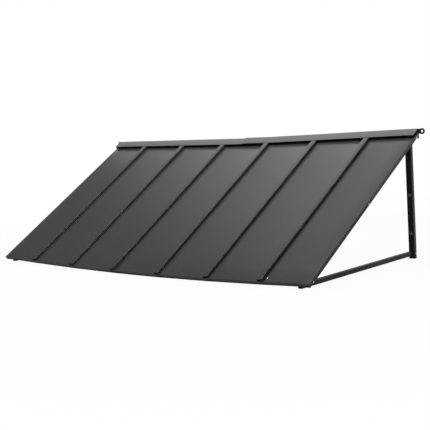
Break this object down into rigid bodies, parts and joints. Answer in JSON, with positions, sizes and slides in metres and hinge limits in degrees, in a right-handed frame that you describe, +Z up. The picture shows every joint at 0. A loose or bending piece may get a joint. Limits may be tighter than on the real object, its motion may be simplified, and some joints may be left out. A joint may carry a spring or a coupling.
{
  "type": "door canopy",
  "caption": "Lean-to metal door canopy: folded standing seam pans and a ridge flashing on a tube frame with two triangular wall brackets.",
  "frame": {"origin": "back face of the wall bar, half way along the roof and half way up the bar", "axes": "+X along the wall to the right as seen from the front, +Y into the wall (the wall plane is Y = 0), +Z up; the eave faces -Y"},
  "size_m": [2.093, 0.9157, 0.6082],
  "materials": {
    "painted_sheet": "satin charcoal powder coat",
    "painted_tube": "satin black powder coat",
    "zinc_steel": "zinc plated",
    "black_steel": "black coated",
    "black_foam": "closed cell foam",
    "black_plastic": "matte black"
  },
  "bodies": {
    "root": {"panel_1": "painted_sheet", "panel_2": "painted_sheet", "panel_3": "painted_sheet", "panel_4": "painted_sheet", "panel_5": "painted_sheet", "panel_6": "painted_sheet", "panel_7": "painted_sheet", "flashing_left": "painted_sheet", "flashing_right": "painted_sheet", "wall_bar": "painted_tube", "head_rail": "painted_tube", "front_rail": "painted_tube", "rafter_left": "painted_tube", "post_left": "painted_tube", "arm_left": "painted_tube", "bracket_left": "painted_tube", "post_cap_left": "black_plastic", "sleeve_left_1": "zinc_steel", "sleeve_left_2": "zinc_steel", "skirt_screw_left_1": "zinc_steel", "skirt_screw_left_2": "zinc_steel", "skirt_screw_left_3": "zinc_steel", "corner_bolt_left": "zinc_steel", "corner_nut_left": "zinc_steel", "bracket_bolt_left": "black_steel", "bracket_nut_left": "black_steel", "bracket_screw_left": "black_steel", "rafter_right": "painted_tube", "post_right": "painted_tube", "arm_right": "painted_tube", "bracket_right": "painted_tube", "post_cap_right": "black_plastic", "sleeve_right_1": "zinc_steel", "sleeve_right_2": "zinc_steel", "skirt_screw_right_1": "zinc_steel", "skirt_screw_right_2": "zinc_steel", "skirt_screw_right_3": "zinc_steel", "corner_bolt_right": "zinc_steel", "corner_nut_right": "zinc_steel", "bracket_bolt_right": "black_steel", "bracket_nut_right": "black_steel", "bracket_screw_right": "black_steel", "closure_1": "black_foam", "closure_2": "black_foam", "closure_3": "black_foam", "closure_4": "black_foam", "closure_5": "black_foam", "closure_6": "black_foam", "closure_7": "black_foam", "pan_screw_1": "painted_sheet", "pan_screw_2": "painted_sheet", "pan_screw_3": "painted_sheet", "pan_screw_4": "painted_sheet", "pan_screw_5": "painted_sheet", "pan_screw_6": "painted_sheet", "pan_screw_7": "zinc_steel"}
  },
  "joints": []
}
